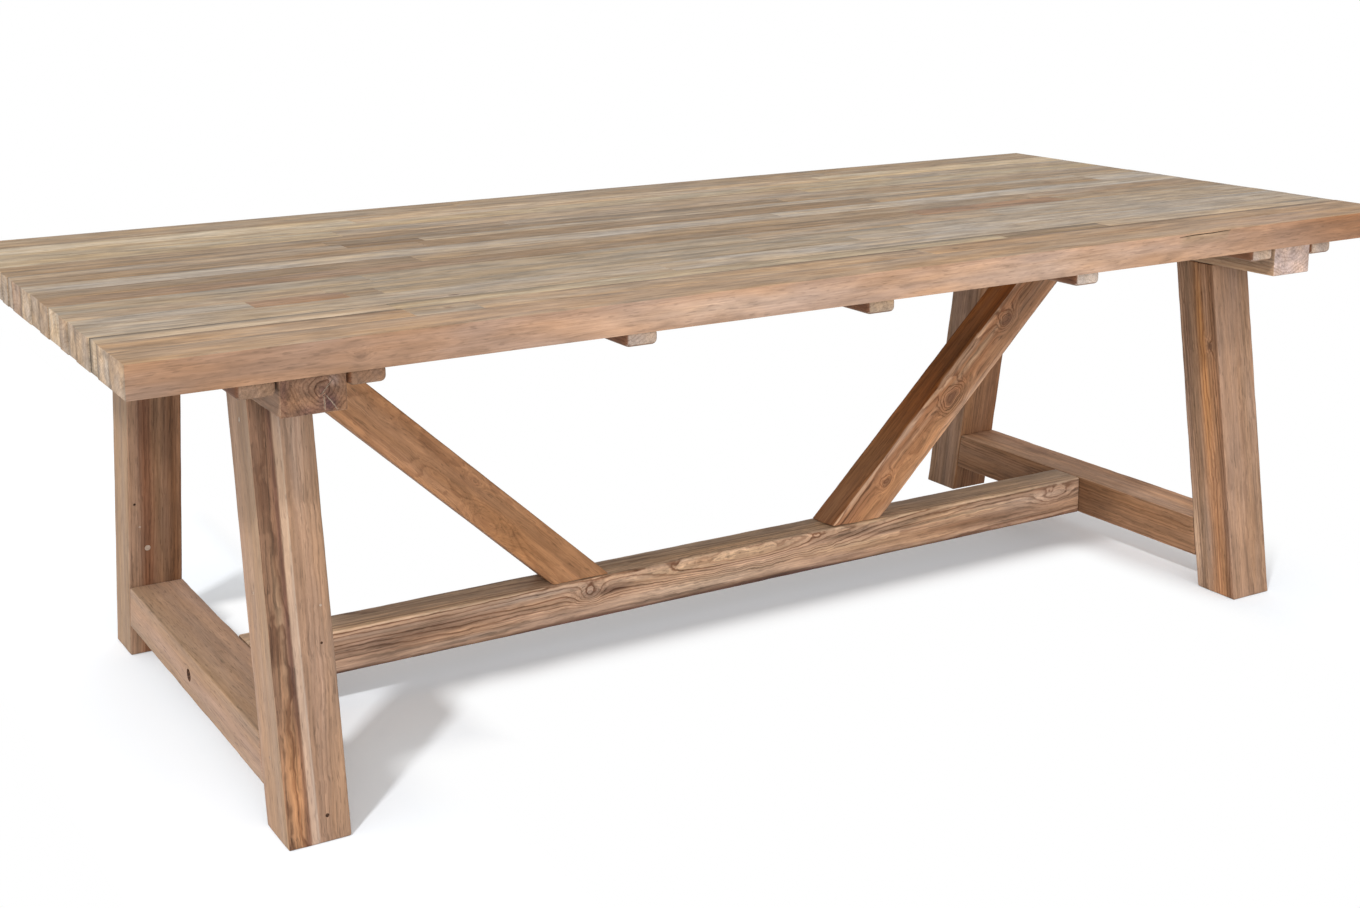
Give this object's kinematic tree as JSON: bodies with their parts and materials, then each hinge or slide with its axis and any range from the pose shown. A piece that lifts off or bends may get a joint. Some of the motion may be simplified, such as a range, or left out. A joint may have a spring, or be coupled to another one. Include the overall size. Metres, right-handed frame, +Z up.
{
  "type": "sawbuck table",
  "caption": "Long sawbuck dining table in reclaimed timber: edge-glued plank top on battens, leaning trestle legs, low rails, a stretcher and diagonal braces.",
  "frame": {"origin": "on the floor under the middle of the table", "axes": "+X along the table's length, -Y towards its front long side, +Z up"},
  "size_m": [2.52, 1.1, 0.78],
  "materials": {
    "teak_top": "weathered reclaimed teak, sanded flat and left dry, grey to honey brown staves",
    "teak_batten": "pale sawn teak with worn arrises",
    "teak_frame": "reclaimed teak beams, planed, with strong brown figure, knots and nail holes",
    "steel_fastener": "zinc plated steel"
  },
  "bodies": {
    "root": {"top_board_01": "teak_top", "top_board_02": "teak_top", "top_board_03": "teak_top", "top_board_04": "teak_top", "top_board_05": "teak_top", "top_board_06": "teak_top", "top_board_07": "teak_top", "top_board_08": "teak_top", "top_board_09": "teak_top", "top_board_10": "teak_top", "top_board_11": "teak_top", "top_board_12": "teak_top", "top_board_13": "teak_top", "top_board_14": "teak_top", "top_board_15": "teak_top", "top_board_16": "teak_top", "top_board_17": "teak_top", "top_board_18": "teak_top", "batten_left_outer": "teak_batten", "batten_left_inner": "teak_batten", "batten_mid_left": "teak_batten", "batten_middle": "teak_batten", "batten_mid_right": "teak_batten", "batten_right_inner": "teak_batten", "batten_right_outer": "teak_batten", "head_beam_left": "teak_frame", "head_beam_right": "teak_frame", "leg_front_left": "teak_frame", "leg_front_right": "teak_frame", "leg_back_left": "teak_frame", "leg_back_right": "teak_frame", "rail_left": "teak_frame", "rail_right": "teak_frame", "stretcher": "teak_frame", "brace_left": "teak_frame", "brace_right": "teak_frame", "batten_screws": "steel_fastener", "head_beam_screws": "steel_fastener", "brace_foot_screws": "steel_fastener", "brace_head_screws": "steel_fastener", "stretcher_bolts": "steel_fastener", "stretcher_washers": "steel_fastener", "barrel_nuts": "steel_fastener"}
  },
  "joints": []
}
